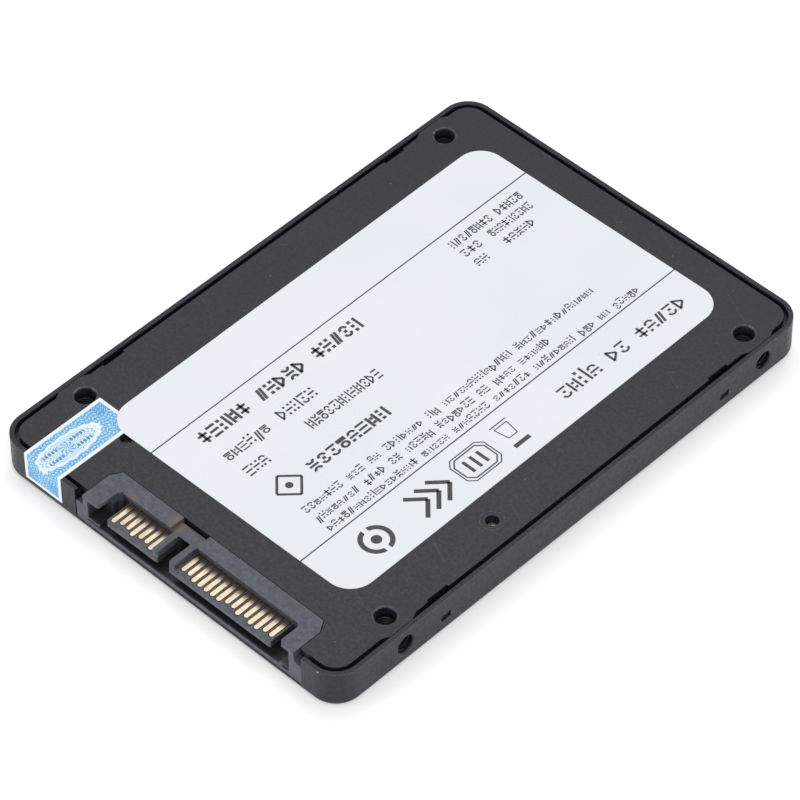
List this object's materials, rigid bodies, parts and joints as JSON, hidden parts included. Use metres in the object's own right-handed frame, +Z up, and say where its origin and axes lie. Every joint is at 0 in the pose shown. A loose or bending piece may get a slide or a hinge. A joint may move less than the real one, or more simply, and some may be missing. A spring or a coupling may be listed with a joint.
{
  "type": "solid state drive",
  "caption": "Flat rectangular 2.5 inch solid state drive, 7 mm high, with a screwed and snapped cover, combined data and power plug, threaded mounting holes and a circuit board inside.",
  "frame": {"origin": "middle of the closed face the drive lies on, at the centre of its outline", "axes": "+Z up out of the cover and label face, -Y towards the connector end, +X across the width so that the signal part of the connector is at -X and the power part at +X"},
  "size_m": [0.0698, 0.1001, 0.0071],
  "materials": {
    "outer_shell": "satin",
    "base_cover": "satin",
    "case_screws": "satin",
    "product_label": "satin",
    "seal_sticker": "satin",
    "connector_housing": "satin",
    "signal_contacts": "polished",
    "power_contacts": "polished",
    "board_locks": "satin",
    "circuit_board": "gloss",
    "board_screws": "satin",
    "controller_chip": "satin",
    "buffer_chip": "satin",
    "flash_chip_1": "satin",
    "flash_chip_2": "satin",
    "flash_chip_3": "satin",
    "flash_chip_4": "satin",
    "firmware_chip": "satin",
    "regulator_chip": "satin",
    "clock_crystal": "satin",
    "power_coils": "satin",
    "supply_capacitors": "satin",
    "ceramic_capacitors": "satin",
    "chip_resistors": "satin",
    "thermal_pad": "matte"
  },
  "bodies": {
    "shell": {"outer_shell": "outer_shell", "connector_housing": "connector_housing", "signal_contacts": "signal_contacts", "power_contacts": "power_contacts", "board_locks": "board_locks", "circuit_board": "circuit_board", "board_screws": "board_screws", "controller_chip": "controller_chip", "buffer_chip": "buffer_chip", "flash_chip_1": "flash_chip_1", "flash_chip_2": "flash_chip_2", "flash_chip_3": "flash_chip_3", "flash_chip_4": "flash_chip_4", "firmware_chip": "firmware_chip", "regulator_chip": "regulator_chip", "clock_crystal": "clock_crystal", "power_coils": "power_coils", "supply_capacitors": "supply_capacitors", "ceramic_capacitors": "ceramic_capacitors", "chip_resistors": "chip_resistors", "thermal_pad": "thermal_pad"},
    "cover": {"base_cover": "base_cover", "case_screws": "case_screws", "product_label": "product_label", "seal_sticker": "seal_sticker"}
  },
  "joints": [
    {"name": "cover_lift", "type": "slide", "parent": "shell", "child": "cover", "axis": [0, 0, 1], "range_m": [0, 0.02]}
  ]
}
